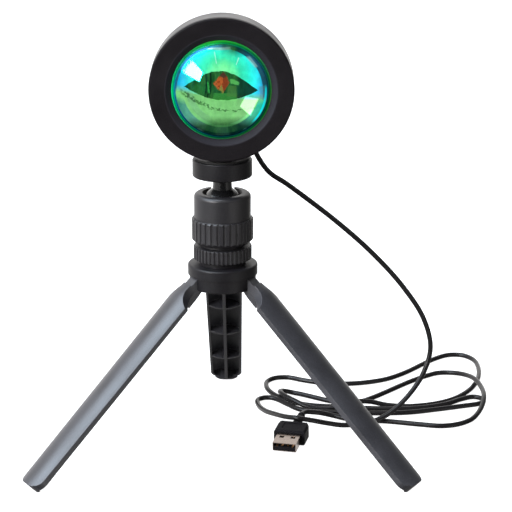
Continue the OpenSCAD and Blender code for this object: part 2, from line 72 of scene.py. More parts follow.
# ---- mesh helpers --------------------------------------------------------
def piece(name, verts, faces, mat, smooth=30):
    """A mesh object from points in millimetres; edges sharper than smooth degrees stay sharp."""
    me = bpy.data.meshes.new(name)
    me.from_pydata([(x * MM, y * MM, z * MM) for x, y, z in verts], [], faces)
    me.validate()
    bm = bmesh.new()
    bm.from_mesh(me)
    bmesh.ops.remove_doubles(bm, verts=bm.verts, dist=1e-7)
    bmesh.ops.recalc_face_normals(bm, faces=bm.faces)
    bm.to_mesh(me)
    bm.free()
    me.shade_smooth()
    me.set_sharp_from_angle(angle=math.radians(smooth))
    me.materials.append(mat)
    o = bpy.data.objects.new(name, me)
    scene.collection.objects.link(o)
    return o


def fillet(points, closed=True, n=5):
    """A polygon whose corners [x, y, radius] are rounded by arcs of n steps."""
    out = []
    m = len(points)
    for i, p in enumerate(points):
        r = p[2] if len(p) > 2 else 0
        if r <= 0 or (not closed and i in (0, m - 1)):
            out.append((p[0], p[1]))
            continue
        P = np.array(p[:2], float)
        a = np.array(points[i - 1][:2], float) - P
        b = np.array(points[(i + 1) % m][:2], float) - P
        la, lb = np.linalg.norm(a), np.linalg.norm(b)
        a, b = a / la, b / lb
        ang = math.acos(max(-1, min(1, float(a @ b))))
        t = min(r / math.tan(ang / 2), la * 0.49, lb * 0.49)
        rr = t * math.tan(ang / 2)
        bis = (a + b) / np.linalg.norm(a + b)
        c = P + bis * rr / math.sin(ang / 2)
        s, e = P + a * t - c, P + b * t - c
        sa, ea = math.atan2(s[1], s[0]), math.atan2(e[1], e[0])
        d = (ea - sa + pi) % (2 * pi) - pi
        for k in range(n + 1):
            w = sa + d * k / n
            out.append((c[0] + rr * math.cos(w), c[1] + rr * math.sin(w)))
    return out


def lathe(name, profile, mat, segs=160, place=None, smooth=30, wave=None):
    """A closed profile (r, h) turned round the h axis. place maps (x, y, h) to the row frame in millimetres. wave changes the radius by angle."""
    verts, faces, rings = [], [], []
    for r, h in profile:
        if r < 1e-6:
            rings.append([len(verts)])
            verts.append((0.0, 0.0, h))
            continue
        ring = []
        for k in range(segs):
            a = 2 * pi * k / segs
            q = wave(r, h, a) if wave else r
            ring.append(len(verts))
            verts.append((q * math.cos(a), q * math.sin(a), h))
        rings.append(ring)
    m = len(rings)
    for i in range(m):
        A, B = rings[i], rings[(i + 1) % m]
        if len(A) == 1 and len(B) == 1:
            continue
        for k in range(segs):
            l = (k + 1) % segs
            if len(A) == 1:
                faces.append((A[0], B[l], B[k]))
            elif len(B) == 1:
                faces.append((A[k], A[l], B[0]))
            else:
                faces.append((A[k], A[l], B[l], B[k]))
    if place:
        verts = [place(*v) for v in verts]
    return piece(name, verts, faces, mat, smooth)


DRUM_Z = 187.1
def on_drum(x, y, h):
    """A shape drawn round +h so that h runs along +Y on the drum's axis."""
    return (x, h, DRUM_Z - y)


# ---- materials -----------------------------------------------------------
def srgb(r, g, b):
    return tuple(((c / 255 / 12.92) if c / 255 <= 0.04045 else ((c / 255 + 0.055) / 1.055) ** 2.4) for c in (r, g, b)) + (1.0,)


class Mat:
    """A material with a Principled shader, and short calls that add nodes to it."""

    def __init__(self, name, color=(0.5, 0.5, 0.5, 1), rough=0.5, metal=0.0, **kw):
        self.m = bpy.data.materials.new(name)
        self.m.use_nodes = True
        self.nt = self.m.node_tree
        self.bsdf = self.nt.nodes["Principled BSDF"]
        self.bsdf.inputs["Base Color"].default_value = color
        self.bsdf.inputs["Roughness"].default_value = rough
        self.bsdf.inputs["Metallic"].default_value = metal
        for k, v in kw.items():
            self.bsdf.inputs[k.replace("_", " ")].default_value = v
        self.coord = None

    def new(self, kind, **kw):
        n = self.nt.nodes.new(kind)
        for k, v in kw.items():
            if k in n.inputs:
                n.inputs[k].default_value = v
            else:
                setattr(n, k, v)
        return n

    def link(self, a, b):
        self.nt.links.new(a, b)

    def pos(self):
        if self.coord is None:
            self.coord = self.new("ShaderNodeTexCoord")
        return self.coord.outputs["Object"]

    def noise(self, scale, detail=2.0, rough=0.5, vec=None):
        n = self.new("ShaderNodeTexNoise")
        n.inputs["Scale"].default_value = scale
        n.inputs["Detail"].default_value = detail
        n.inputs["Roughness"].default_value = rough
        self.link(vec or self.pos(), n.inputs["Vector"])
        return n.outputs["Fac"]

    def ramp(self, fac, stops, mode="LINEAR"):
        n = self.new("ShaderNodeValToRGB")
        n.color_ramp.interpolation = mode
        e = n.color_ramp.elements
        while len(e) < len(stops):
            e.new(0.5)
        for el, (p, c) in zip(e, stops):
            el.position = p
            el.color = c if len(c) == 4 else (*c, 1)
        self.link(fac, n.inputs["Fac"])
        return n.outputs["Color"]

    def range(self, fac, a, b, c, d):
        n = self.new("ShaderNodeMapRange")
        for i, v in enumerate((a, b, c, d)):
            n.inputs[i + 1].default_value = v
        self.link(fac, n.inputs[0])
        return n.outputs[0]

    def math(self, op, a, b=None, c=None):
        n = self.new("ShaderNodeMath", operation=op)
        for i, v in enumerate((a, b, c)):
            if v is None:
                continue
            if isinstance(v, (int, float)):
                n.inputs[i].default_value = v
            else:
                self.link(v, n.inputs[i])
        return n.outputs[0]

    def mix(self, fac, a, b, blend="MIX"):
        n = self.new("ShaderNodeMix", data_type="RGBA", blend_type=blend)
        for s, v in (("Factor", fac), ("A", a), ("B", b)):
            sock = [i for i in n.inputs if i.name == s and i.enabled][0]
            if isinstance(v, (int, float)):
                sock.default_value = v
            elif isinstance(v, tuple):
                sock.default_value = v
            else:
                self.link(v, sock)
        return [o for o in n.outputs if o.enabled][0]

    def bump(self, height, strength=0.1, distance=0.0001, normal=None):
        n = self.new("ShaderNodeBump")
        n.inputs["Strength"].default_value = strength
        n.inputs["Distance"].default_value = distance
        self.link(height, n.inputs["Height"])
        if normal:
            self.link(normal, n.inputs["Normal"])
        self.link(n.outputs["Normal"], self.bsdf.inputs["Normal"])
        return n.outputs["Normal"]


def moulded(name, color, rough, speck=0.25, grain=9000, bump=0.12, spread=0.12, spec=0.5, edge=0.0, **kw):
    """Moulded or coated plastic: fine grain, slight unevenness of colour and gloss, and softened edges of that radius in mm."""
    M = Mat(name, color, rough, **kw)
    M.bsdf.inputs["Specular IOR Level"].default_value = spec
    fine = M.noise(grain, 2, 0.6)
    big = M.noise(60, 3, 0.55)
    light = tuple(min(1, c * (1 + speck) + 0.004 * speck) for c in color[:3]) + (1,)
    dim = tuple(c * (1 - speck) for c in color[:3]) + (1,)
    col = M.ramp(M.math("ADD", M.math("MULTIPLY", fine, 0.7), M.math("MULTIPLY", big, 0.3)), [(0.35, dim), (0.65, light)])
    M.link(col, M.bsdf.inputs["Base Color"])
    M.link(M.range(big, 0.3, 0.7, rough - spread / 2, rough + spread / 2), M.bsdf.inputs["Roughness"])
    soft_edge = None
    if edge > 0:
        b = M.new("ShaderNodeBevel")
        b.samples = 4
        b.inputs["Radius"].default_value = edge * MM
        soft_edge = b.outputs[0]
    M.bump(fine, bump, 0.00006, soft_edge)
    return M


housing = moulded("housing_black", srgb(24, 22, 24), 0.44, 0.3, 3500, 0.25, spec=0.5, edge=0.3)
bezel_coat = moulded("bezel_black", srgb(13, 11, 13), 0.5, 0.4, 2600, 0.35, spec=0.05, edge=0.35)
stand_coat = moulded("stand_black", srgb(21, 20, 22), 0.4, 0.3, 2600, 0.25, spec=0.24, edge=0.3)
ball_coat = moulded("ball_black", srgb(11, 11, 12), 0.22, 0.15, 5000, 0.03, 0.06, spec=0.36)
leg_plastic = moulded("leg_black", srgb(28, 28, 32), 0.4, 0.4, 2200, 0.35, spec=0.4, edge=0.4)
hub_coat = moulded("hub_black", srgb(13, 12, 14), 0.4, 0.3, 2600, 0.25, spec=0.13, edge=0.3)
rubber = moulded("rubber_black", srgb(16, 16, 16), 0.6, 0.25, 5000, 0.2, spec=0.15)
cord_jacket = moulded("cord_black", srgb(13, 12, 13), 0.28, 0.2, 3000, 0.1, 0.08, spec=0.13)
plug_plastic = moulded("plug_black", srgb(14, 13, 15), 0.45, 0.35, 2600, 0.35, spec=0.015, edge=0.3)
tube_black = moulded("tube_black", srgb(20, 20, 21), 0.55, 0.2, 5000, 0.2, spec=0.2)

steel = Mat("steel_plated", srgb(190, 188, 184), 0.28, 1.0)
steel.link(steel.range(steel.noise(900, 4, 0.6), 0.3, 0.7, 0.2, 0.36), steel.bsdf.inputs["Roughness"])
aluminium = Mat("aluminium_plain", srgb(200, 201, 204), 0.34, 1.0)
aluminium.link(aluminium.range(aluminium.noise(500, 4, 0.6), 0.3, 0.7, 0.26, 0.44), aluminium.bsdf.inputs["Roughness"])
brass = Mat("brass_turned", srgb(205, 165, 95), 0.3, 1.0)
brass.link(brass.range(brass.noise(900, 3, 0.6), 0.3, 0.7, 0.22, 0.4), brass.bsdf.inputs["Roughness"])
shell_metal = Mat("plug_metal", srgb(138, 126, 119), 0.3, 1.0)
shell_metal.link(shell_metal.range(shell_metal.noise(700, 5, 0.65), 0.3, 0.7, 0.2, 0.34), shell_metal.bsdf.inputs["Roughness"])
contact = Mat("contact_gold", srgb(150, 110, 70), 0.35, 1.0)
contact.link(contact.range(contact.noise(1500, 3, 0.6), 0.3, 0.7, 0.28, 0.45), contact.bsdf.inputs["Roughness"])
board_white = moulded("board_white", srgb(225, 226, 222), 0.45, 0.04, 4000, 0.05)
lead_red = moulded("lead_red", srgb(165, 30, 26), 0.35, 0.06, 3000, 0.04)

by_slot = {
    "housing_black": housing, "stand_black": stand_coat, "ball_black": ball_coat, "leg_black": leg_plastic,
    "rubber": rubber, "steel": steel, "brass": brass, "aluminium": aluminium, "tube_black": tube_black,
    "board_white": board_white, "lead_red": lead_red, "cord_black": cord_jacket, "plug_black": plug_plastic,
    "plug_metal": shell_metal, "contact_gold": contact,
}


# ---- lens and inner glass ------------------------------------------------
def shader_out(M, socket):
    M.link(socket, M.nt.nodes["Material Output"].inputs["Surface"])


def on_face(M):
    """Millimetres to the right and up from the drum's axis, the distance from it and the angle."""
    sep = M.new("ShaderNodeSeparateXYZ")
    M.link(M.pos(), sep.inputs[0])
    x = M.math("MULTIPLY", sep.outputs["X"], 1000)
    z = M.math("SUBTRACT", M.math("MULTIPLY", sep.outputs["Z"], 1000), DRUM_Z)
    r = M.math("SQRT", M.math("ADD", M.math("MULTIPLY", x, x), M.math("MULTIPLY", z, z)))
    return x, z, r, M.math("ARCTAN2", z, x)


def soft(M, v, edge, width):
    """1 where v is above edge, 0 below it, with a smooth step of the given width."""
    return M.range(v, edge - width / 2, edge + width / 2, 0, 1)


def both(M, *v):
    out = v[0]
    for w in v[1:]:
        out = M.math("MULTIPLY", out, w)
    return out


def inside(M, x, z, pts, width):
    """1 inside a convex polygon given clockwise or anticlockwise."""
    area = sum(a[0] * b[1] - b[0] * a[1] for a, b in zip(pts, pts[1:] + pts[:1]))
    out = None
    for a, b in zip(pts, pts[1:] + pts[:1]):
        nx, nz = -(b[1] - a[1]), b[0] - a[0]
        s = (1 if area > 0 else -1) / math.hypot(nx, nz)
        d = M.math("ADD", M.math("MULTIPLY", x, nx * s), M.math("ADD", M.math("MULTIPLY", z, nz * s), -(a[0] * nx + a[1] * nz) * s))
        e = soft(M, d, 0, width)
        out = e if out is None else M.math("MULTIPLY", out, e)
    return out


def lens_material():
    """Clear glass with a coat that reflects mint, cyan and blue by angle, greener below. Reflections are also painted
    into the coat's tint at fixed places: a deep blue band with pale panes and streaks above, a bright arc, teal blocks,
    a dim band and a cyan shine below, and lines that change round the rim.
    """
    M = Mat("lens_coated", (0.1, 0.7, 0.5, 1), 0.0)
    x, z, r, ang = on_face(M)
    lw = M.new("ShaderNodeLayerWeight")
    lw.inputs["Blend"].default_value = 0.5
    # the dome's own normal, from its centre of curvature
    cut = M.new("ShaderNodeVectorMath", operation="SUBTRACT")
    cut.inputs[1].default_value = (0, 0.0188, DRUM_Z * MM)
    M.link(M.pos(), cut.inputs[0])
    turn = M.new("ShaderNodeVectorTransform", vector_type="NORMAL", convert_from="OBJECT", convert_to="WORLD")
    M.link(cut.outputs[0], turn.inputs[0])
    unit = M.new("ShaderNodeVectorMath", operation="NORMALIZE")
    M.link(turn.outputs[0], unit.inputs[0])
    M.link(unit.outputs[0], lw.inputs["Normal"])
    wob = M.math("MULTIPLY", M.math("SUBTRACT", M.noise(110, 2, 0.5), 0.5), 0.016)
    face = M.math("ADD", lw.outputs["Facing"], wob)
    top = M.ramp(face, [
        (0.000, (0.20, 0.93, 0.36)), (0.010, (0.13, 0.90, 0.38)), (0.026, (0.01, 0.80, 0.46)),
        (0.048, (0.004, 0.88, 0.62)), (0.066, (0.0, 0.98, 0.86)), (0.095, (0.0, 0.80, 0.90)),
        (0.125, (0.0, 0.52, 0.86)), (0.17, (0.0, 0.33, 0.66)), (0.30, (0.0, 0.16, 0.40))])
    low = M.ramp(face, [
        (0.000, (0.16, 0.50, 0.15)), (0.08, (0.17, 0.50, 0.16)), (0.16, (0.18, 0.53, 0.17)),
        (0.205, (0.16, 0.55, 0.19)), (0.24, (0.03, 0.36, 0.20)), (0.30, (0.01, 0.25, 0.19)), (0.42, (0.0, 0.12, 0.10))])
    fall = M.math("ADD", z, M.math("MULTIPLY", x, 0.10))
    tint = M.mix(M.range(fall, 1.2, -2.2, 0, 1), top, low)

    # painted reflections in the coat's tint: the outer band above, deep blue, with pale panes
    band = soft(M, M.math("ADD", r, M.range(ang, 0.2, 2.6, 0.25, -1.3)), 19.9, 0.35)
    above = soft(M, fall, -1.5, 2.0)
    deep = M.mix(M.noise(260, 3, 0.6), (0.004, 0.035, 0.10, 1), (0.006, 0.10, 0.20, 1))
    tint = M.mix(both(M, band, above), tint, deep)
    pane = M.mix(M.noise(300, 3, 0.6), (0.16, 0.33, 0.40, 1), (0.32, 0.56, 0.56, 1))
    top_pane = inside(M, x, z, [(-8.6, 19.3), (-5.0, 20.6), (4.3, 21.0), (4.6, 19.2), (-1.0, 19.6)], 0.3)
    tint = M.mix(M.math("MULTIPLY", top_pane, 0.85), tint, pane)
    side_pane = inside(M, x, z, [(11.4, 16.4), (13.4, 16.6), (17.2, 11.8), (15.9, 11.2)], 0.4)
    tint = M.mix(M.math("MULTIPLY", side_pane, 0.55), tint, pane)
    low_pane = inside(M, x, z, [(17.9, 2.4), (20.4, 2.6), (20.3, -4.6), (18.2, -3.4)], 0.4)
    tint = M.mix(M.math("MULTIPLY", low_pane, 0.45), tint, (0.10, 0.22, 0.30, 1))
    # painted glints: two thin pale streaks in the coat's tint
    for a in ([(-3.4, 19.0), (-3.0, 19.0), (-2.0, 13.8), (-2.4, 13.8)], [(8.0, 16.4), (8.5, 16.2), (7.2, 13.0), (6.8, 13.2)]):
        tint = M.mix(M.math("MULTIPLY", inside(M, x, z, a, 0.25), 0.75), tint, (0.45, 1.0, 0.8, 1))

    # painted reflections in the coat's tint, lower rings: bright arc, then teal blocks, then thin green lines
    off = M.math("SQRT", M.math("ADD", M.math("MULTIPLY", x, x), M.math("POWER", M.math("SUBTRACT", z, 1.2), 2.0)))
    under = soft(M, z, -4.5, 3.5)
    under = M.math("SUBTRACT", 1.0, under)
    arc = both(M, soft(M, off, 16.9, 0.7), M.math("SUBTRACT", 1.0, soft(M, off, 18.2, 0.4)), under, M.range(M.math("SUBTRACT", z, M.math("MULTIPLY", x, 0.25)), -9.0, -15.5, 0.0, 1.0))
    tint = M.mix(M.math("MULTIPLY", arc, 0.8), tint, (0.24, 0.92, 0.33, 1))
    outer = both(M, soft(M, off, 18.2, 0.5), under)
    blocks = M.ramp(M.range(ang, -2.9, -0.25, 0, 1), [
        (0.00, (0.03, 0.20, 0.16)), (0.16, (0.06, 0.28, 0.22)), (0.33, (0.10, 0.30, 0.22)), (0.36, (0.0, 0.09, 0.07)),
        (0.44, (0.0, 0.16, 0.11)), (0.46, (0.07, 0.30, 0.20)), (0.56, (0.06, 0.30, 0.22)), (0.58, (0.0, 0.08, 0.08)),
        (0.68, (0.0, 0.13, 0.10)), (0.71, (0.04, 0.24, 0.17)), (0.86, (0.03, 0.42, 0.26)), (1.0, (0.0, 0.55, 0.38))])
    tint = M.mix(outer, tint, blocks)
    # painted reflection: a dimmer green band low on the left
    dim_band_reflection = both(M, soft(M, off, 13.4, 0.5), M.math("SUBTRACT", 1.0, soft(M, off, 16.6, 0.5)), M.math("SUBTRACT", 1.0, soft(M, x, -6.0, 4.0)), M.math("SUBTRACT", 1.0, soft(M, z, 0.5, 2.5)))
    tint = M.mix(M.math("MULTIPLY", dim_band_reflection, 0.45), tint, (0.13, 0.32, 0.19, 1))
    # painted reflection: a cyan shine in a ring on the right
    shine = both(M, soft(M, r, 20.5, 0.3), M.math("SUBTRACT", 1.0, soft(M, r, 21.4, 0.4)), inside(M, x, z, [(10, 1.5), (26, 2.5), (26, -16), (10, -14)], 2.0))
    tint = M.mix(M.math("MULTIPLY", shine, 0.9), tint, (0.0, 0.80, 0.92, 1))

    # rim: painted reflections, thin lines of green and teal whose colour and brightness change round the edge
    edge = M.ramp(M.range(r, 21.3, 23.8, 0, 1), [
        (0.0, (0.0, 0.05, 0.13)), (0.22, (0.0, 0.035, 0.10)), (0.36, (0.0, 0.03, 0.05)), (0.46, (0.0, 0.16, 0.07)), (0.58, (0.0, 0.05, 0.03)),
        (0.68, (0.0, 0.14, 0.03)), (0.84, (0.01, 0.22, 0.03)), (0.93, (0.03, 0.34, 0.10)), (1.0, (0.0, 0.05, 0.02))])
    round_ = M.ramp(M.range(ang, -pi, pi, 0, 1), [
        (0.0, (0.2, 1.5, 2.2)), (0.12, (0.2, 0.75, 1.0)), (0.24, (0.6, 0.45, 0.7)), (0.36, (1.3, 0.7, 0.7)), (0.46, (2.2, 0.75, 0.5)),
        (0.58, (1.2, 0.55, 0.9)), (0.68, (0.7, 0.85, 0.6)), (0.78, (0.9, 1.15, 0.4)), (0.88, (0.4, 0.8, 1.2)), (1.0, (0.2, 1.5, 2.2))])
    edge = M.mix(1.0, edge, round_, "MULTIPLY")
    tint = M.mix(soft(M, r, 21.6, 0.4), tint, edge)
    specks = M.math("GREATER_THAN", M.noise(2600, 1, 0.5), 0.77)
    tint = M.mix(M.math("MULTIPLY", specks, 0.55), tint, (0.02, 0.16, 0.12, 1))

    gloss = M.new("ShaderNodeBsdfGlossy")
    gloss.inputs["Roughness"].default_value = 0.0
    M.link(tint, gloss.inputs["Color"])
    M.link(unit.outputs[0], gloss.inputs["Normal"])
    clear = M.new("ShaderNodeBsdfTransparent")
    clear.inputs["Color"].default_value = (0.95, 0.95, 0.92, 1)
    mix = M.new("ShaderNodeMixShader")
    M.link(M.range(lw.outputs["Facing"], 0.0, 0.30, 0.80, 0.93), mix.inputs[0])
    M.link(clear.outputs[0], mix.inputs[1])
    M.link(gloss.outputs[0], mix.inputs[2])
    # the plain shine of the glass itself
    plain = M.new("ShaderNodeBsdfGlossy")
    plain.inputs["Roughness"].default_value = 0.0
    plain.inputs["Color"].default_value = (1, 1, 1, 1)
    mix2 = M.new("ShaderNodeMixShader")
    M.link(M.range(r, 19.2, 20.2, 0.022, 0.005), mix2.inputs[0])
    M.link(unit.outputs[0], plain.inputs["Normal"])
    M.link(mix.outputs[0], mix2.inputs[1])
    M.link(plain.outputs[0], mix2.inputs[2])
    # the coat's own colour at the ground edge, which carries the painted rim lines
    body = M.new("ShaderNodeBsdfDiffuse")
    M.link(tint, body.inputs["Color"])
    mix3 = M.new("ShaderNodeMixShader")
    M.link(M.range(r, 21.6, 22.4, 0.0, 0.8), mix3.inputs[0])
    M.link(mix2.outputs[0], mix3.inputs[1])
    M.link(body.outputs[0], mix3.inputs[2])
    # the flat back face has no coat
    sep = M.new("ShaderNodeSeparateXYZ")
    M.link(M.pos(), sep.inputs[0])
    bare = M.new("ShaderNodeBsdfTransparent")
    mix4 = M.new("ShaderNodeMixShader")
    M.link(M.math("GREATER_THAN", sep.outputs["Y"], -0.0079), mix4.inputs[0])
    M.link(mix3.outputs[0], mix4.inputs[1])
    M.link(bare.outputs[0], mix4.inputs[2])
    shader_out(M, mix4.outputs[0])
    return M


lens_mat = lens_material()


def filter_material():
    """The coated disc behind the lens, painted with a reflection of the lamp's inside: greens, dark streaks and the
    emitter's glow, all given off as the disc's own painted glow.
    """
    M = Mat("filter_coated", (0.02, 0.12, 0.04, 1), 0.15)
    x, z, r, ang = on_face(M)
    stretch = M.new("ShaderNodeMapping")
    stretch.inputs["Scale"].default_value = (1.0, 1.0, 0.25)
    M.link(M.pos(), stretch.inputs["Vector"])
    streak = M.noise(520, 3, 0.65, stretch.outputs[0])
    blot = M.noise(330, 3, 0.6)
    col = M.ramp(streak, [(0.34, (0.006, 0.045, 0.016)), (0.50, (0.02, 0.13, 0.03)), (0.60, (0.05, 0.22, 0.045)), (0.72, (0.02, 0.12, 0.035))])
    col = M.mix(M.math("MULTIPLY", blot, 0.5), col, (0.02, 0.20, 0.04, 1))
    # painted reflection, darker to the right, brighter green to the left and low down
    col = M.mix(M.range(x, 6.0, 8.0, 0, 0.85), col, (0.006, 0.035, 0.020, 1))
    left = inside(M, x, z, [(-15.5, -2.5), (-8.5, -4.6), (-7.6, 0.2), (-13.0, 1.4)], 1.2)
    col = M.mix(M.math("MULTIPLY", left, 0.6), col, (0.03, 0.26, 0.05, 1))
    base = inside(M, x, z, [(-3.8, -3.0), (6.8, -3.2), (7.2, -7.0), (-4.6, -6.6)], 0.5)
    col = M.mix(M.math("MULTIPLY", base, 0.8), col, (0.05, 0.36, 0.06, 1))
    right_low = inside(M, x, z, [(3.0, 0.6), (6.9, 0.4), (7.2, -5.0), (2.2, -4.6)], 0.5)
    col = M.mix(M.math("MULTIPLY", right_low, 0.6), col, (0.09, 0.26, 0.05, 1))
    # painted reflections: dark curved streaks left of the middle
    for at, w, lo, hi in ((-7.3, 0.55, -3.6, 7.0), (-5.2, 0.5, -3.2, 7.4), (-6.2, 0.3, -5.4, -2.6)):
        bend = M.math("ADD", x, M.math("MULTIPLY", M.math("POWER", M.math("MULTIPLY", M.math("SUBTRACT", z, 2.0), 0.1), 2.0), 1.2))
        d = M.math("ABSOLUTE", M.math("SUBTRACT", bend, at))
        line = both(M, M.math("SUBTRACT", 1.0, soft(M, d, w / 2 + 0.12, 0.35)), soft(M, z, lo, 1.0), M.math("SUBTRACT", 1.0, soft(M, z, hi, 1.0)))
        col = M.mix(M.math("MULTIPLY", line, 0.9), col, (0.003, 0.02, 0.01, 1))
    # painted reflection: a thin bright green stripe
    green = inside(M, x, z, [(-7.0, 2.4), (-6.3, 2.4), (-5.6, -3.0), (-6.4, -3.2)], 0.3)
    col = M.mix(M.math("MULTIPLY", green, 0.75), col, (0.05, 0.55, 0.10, 1))
    # painted reflection: a pale pane right of the emitter
    pale = inside(M, x, z, [(3.9, 3.6), (5.2, 3.8), (8.4, 2.2), (8.0, 0.8), (4.4, 1.5)], 0.4)
    col = M.mix(M.math("MULTIPLY", pale, 0.9), col, (0.13, 0.60, 0.14, 1))
    # emitter: a diamond of four slopes, with painted light and shade on them: darker on the right half and at the top,
    # yellow at the lower tip
    rough = M.math("MULTIPLY", M.math("SUBTRACT", M.noise(900, 3, 0.7), 0.5), 1.5)
    xr, zr = M.math("ADD", x, rough), M.math("ADD", z, rough)
    whole = inside(M, xr, zr, [(1.0, 7.6), (3.9, 2.2), (0.4, -3.4), (-4.0, 1.6)], 0.35)
    ember = M.mix(M.math("GREATER_THAN", M.noise(1500, 3, 0.7), 0.47), (0.30, 0.05, 0.012, 1), (0.62, 0.13, 0.03, 1))
    c = M.mix(soft(M, xr, 0.6, 0.3), ember, (0.30, 0.045, 0.014, 1))
    c = M.mix(soft(M, M.math("SUBTRACT", zr, M.math("MULTIPLY", M.math("ABSOLUTE", M.math("SUBTRACT", xr, 1.0)), 0.5)), 4.2, 0.4), c, (0.10, 0.035, 0.025, 1))
    c = M.mix(M.math("SUBTRACT", 1.0, soft(M, M.math("ADD", zr, M.math("MULTIPLY", M.math("ABSOLUTE", M.math("SUBTRACT", xr, -0.3)), 2.4)), 0.9, 0.5)), c, (0.30, 0.26, 0.05, 1))
    col = M.mix(whole, col, c)
    M.link(col, M.bsdf.inputs["Base Color"])
    # painted glow: the disc gives off its own colour as light, though it is no lamp
    M.link(col, M.bsdf.inputs["Emission Color"])
    M.bsdf.inputs["Emission Strength"].default_value = 3.6
    clear = M.new("ShaderNodeBsdfTransparent")
    mix = M.new("ShaderNodeMixShader")
    mix.inputs[0].default_value = 0.95
    M.link(clear.outputs[0], mix.inputs[1])
    M.link(M.bsdf.outputs[0], mix.inputs[2])
    shader_out(M, mix.outputs[0])
    return M


filter_mat = filter_material()


def emitter_material():
    """Yellow phosphor under an orange coat."""
    M = Mat("emitter_orange", (0.6, 0.12, 0.02, 1), 0.25)
    c = M.mix(M.noise(900, 3, 0.6), (0.62, 0.16, 0.03, 1), (0.70, 0.36, 0.05, 1))
    M.link(c, M.bsdf.inputs["Base Color"])
    M.link(M.range(M.noise(700, 2, 0.5), 0.3, 0.7, 0.2, 0.4), M.bsdf.inputs["Roughness"])
    return M


emitter_mat = emitter_material()
by_slot["lens_glass"], by_slot["filter_glass"], by_slot["emitter"] = lens_mat, filter_mat, emitter_mat

# painted sheen: the bezel's bore is painted a little paler than its face, standing in for the light the bore reflects
bx, bz, br, bang = on_face(bezel_coat)
face_col = bezel_coat.bsdf.inputs["Base Color"].links[0].from_socket
bezel_coat.link(bezel_coat.mix(bezel_coat.range(br, 26.4, 27.2, 1, 0), face_col, srgb(30, 29, 33)), bezel_coat.bsdf.inputs["Base Color"])

# every CAD node takes the material of its slot, except the front bezel, hub disc, hub block and platform, which take
# the bezel and hub materials
slot_of = {s["node"]: s["material_slot"] for s in frame["record"]["subparts"]}
for n, o in frame["nodes"].items():
    m = bezel_coat.m if n == "front_bezel" else hub_coat.m if n in ("hub_disc", "hub_block", "platform") else by_slot[slot_of[n]].m
    if not o.data.materials:
        o.data.materials.append(m)
    for i in range(len(o.data.materials)):
        o.data.materials[i] = m


def done(o, body, node=None, slot=None):
    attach(o, body)
    if node:
        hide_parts(*([node] if isinstance(node, str) else node))
    return o


# ---- supply cord ---------------------------------------------------------
CORD_D = 2.6
exit_route = [(9, 24.5, 164.1), (9, 28.5, 164.1), (9.8, 32.5, 161.8), (12, 35, 156.5), (14.5, 34.5, 150), (17, 33, 144)]
drop_route = [(22.9, 32.2, 135.8), (32, 32.5, 129.4), (57.4, 36.5, 108.6), (76.3, 39.6, 90.6), (92, 43, 72), (103, 46, 54),
              (106.9, 47, 38), (103.4, 44.6, 25), (95.2, 39.6, 14), (85.5, 35.2, 6.2), (76, 32.2, 2.6)]
floor_route = [(62, 29.4, 1.8), (53.5, 26.8, 3.8), (45.5, 22.2, 7.1), (37.6, 20.4, 9.1), (31.6, 26.4, 7.6), (26, 36.5, 5.3),
               (21.3, 47, 3), (18, 58, 1.5), (17, 66, 1.3), (18, 69.2, 1.3), (20.7, 71.3, 1.3), (24, 71.4, 1.3), (27, 69.5, 1.3),
               (33, 61.5, 1.3), (38, 55, 1.3), (44, 51, 1.3), (58, 49, 1.3), (94, 48.8, 1.3), (112, 53.8, 1.3), (126, 58.8, 1.3),
               (134, 61.8, 1.3), (137, 64.3, 1.3), (137.7, 68, 1.3), (135.9, 71.3, 1.3), (132.5, 72.6, 1.3), (126.4, 69.4, 1.3),
               (117, 61.6, 1.3), (105, 56.4, 1.3), (94.5, 54.6, 1.3), (76.6, 55.2, 1.3), (58, 57.6, 1.3), (46, 59.6, 1.3),
               (38, 63.2, 1.3), (31.5, 69, 1.3), (25.3, 77.6, 1.3), (22, 88, 1.3), (22.6, 97, 1.3), (27, 102.4, 1.3),
               (34, 103.2, 1.3), (42, 98.8, 1.3), (54, 94, 1.3), (70, 93.6, 1.3), (86, 99.4, 1.3), (97, 109, 1.3),
               (117, 134, 1.3), (125.5, 140.6, 1.3), (133, 140.2, 1.3), (138.6, 132.6, 1.3), (140, 116, 1.3), (137, 97, 1.3),
               (131, 82, 1.3), (122, 69.6, 1.3), (111, 62, 1.3), (98, 58.4, 1.3), (86, 58.8, 1.8), (76.5, 59.2, 3.6),
               (69.5, 56.8, 4.5), (62, 53.8, 3), (51, 54, 1.5), (43, 55.8, 2.2), (37, 59.6, 3.8), (32, 65.2, 4.5),
               (29.8, 69.8, 4.6), (29.2, 73.8, 4), (30.5, 77.3, 3), (33.7, 79.1, 1.9), (37.3, 78.5, 1.3), (55.5, 66.4, 1.3),
               (62, 63.2, 1.3), (68, 63.6, 1.3), (75, 67.8, 1.3), (101, 97, 1.3), (110, 105.6, 1.3), (117.5, 110.6, 1.3),
               (124.5, 110, 1.6), (130.6, 104, 2.8), (135, 93.5, 4.3), (137.6, 80, 4.4), (137.5, 64, 4.4), (134.2, 50.5, 2.4),
               (128, 38.4, 1.3), (120, 31.6, 1.3), (111.5, 29.6, 1.3), (101, 31.8, 1.3), (82, 36.6, 1.3), (70, 37, 1.3),
               (62.7, 39.6, 1.6), (56, 42, 2.4), (49.5, 41.8, 3.9), (45.6, 40.4, 4.8), (42.4, 38.6, 5.6), (40.4, 35.2, 6),
               (39.9, 33.2, 5.9)]
route = exit_route + drop_route + floor_route
JOIN = len(exit_route) + 1


